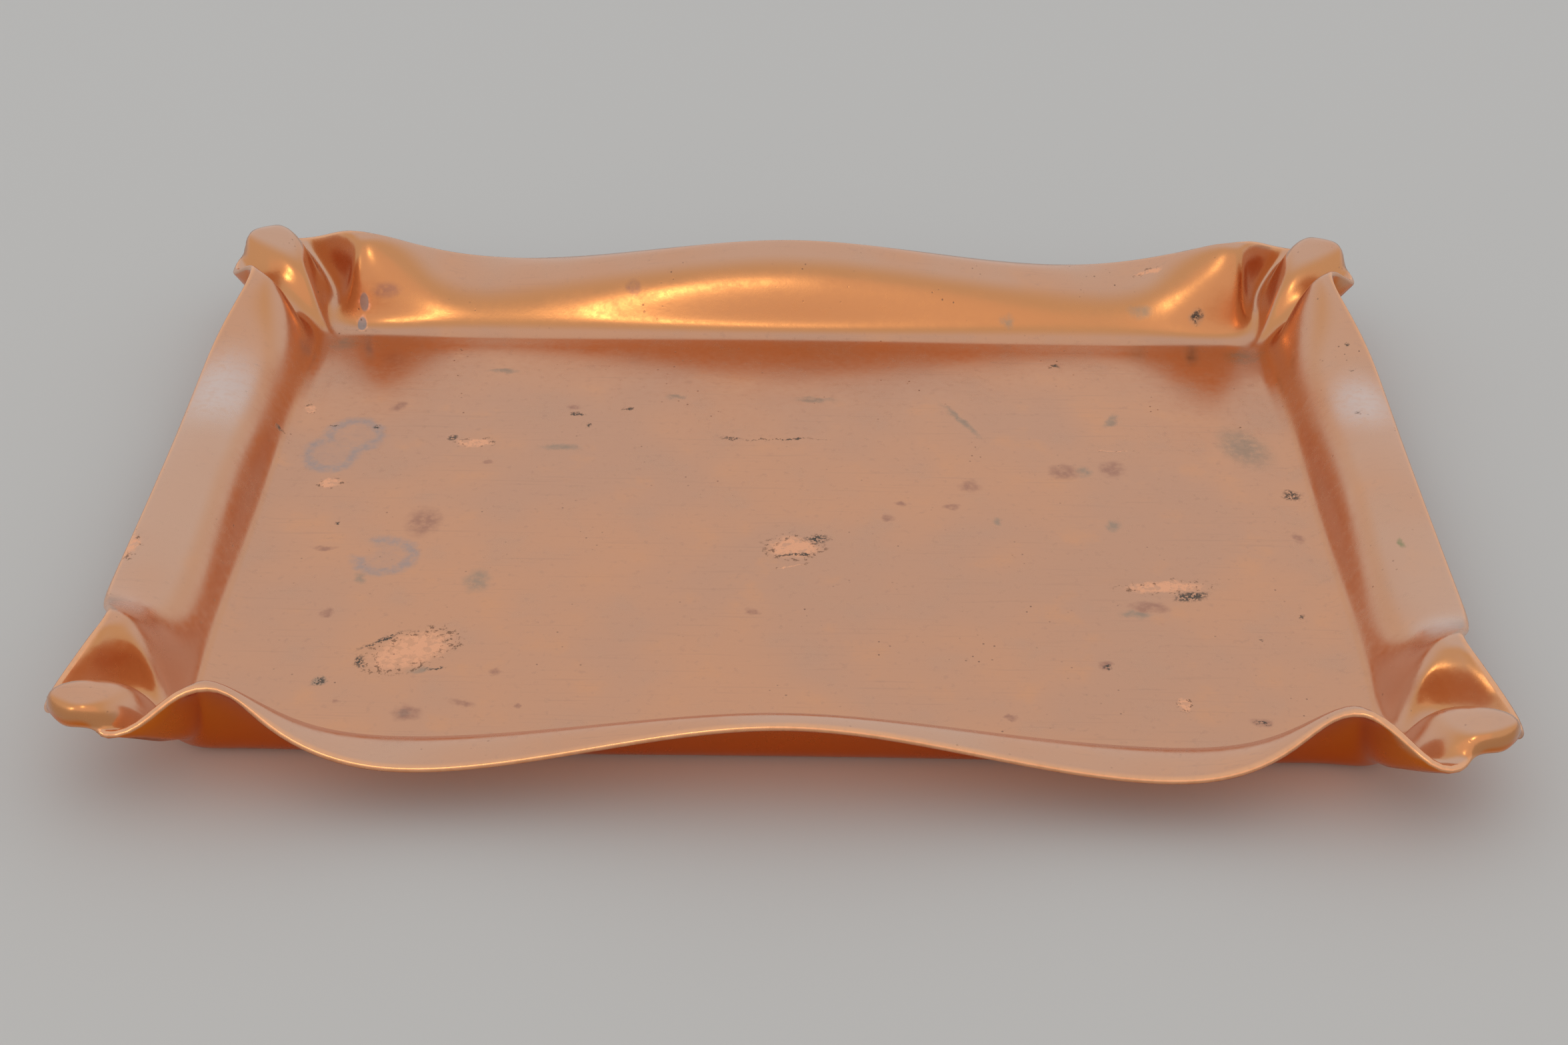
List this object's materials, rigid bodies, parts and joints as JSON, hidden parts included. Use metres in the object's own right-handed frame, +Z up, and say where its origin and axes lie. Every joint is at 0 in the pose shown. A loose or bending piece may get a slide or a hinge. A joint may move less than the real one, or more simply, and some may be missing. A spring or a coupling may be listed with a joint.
{
  "type": "copper tray",
  "caption": "Small shallow rectangular copper tray raised from one sheet, with a flared waving rim and a pleated, curled tongue at each corner.",
  "frame": {"origin": "middle of the outline, on the flat underside of the floor", "axes": "+X along the long sides, +Y along the short sides, +Z up out of the tray"},
  "size_m": [0.2108, 0.1536, 0.019],
  "materials": {
    "copper": "satin, hand rubbed, with a brown and grey patina"
  },
  "bodies": {
    "root": {"tray_sheet": "copper"}
  },
  "joints": []
}
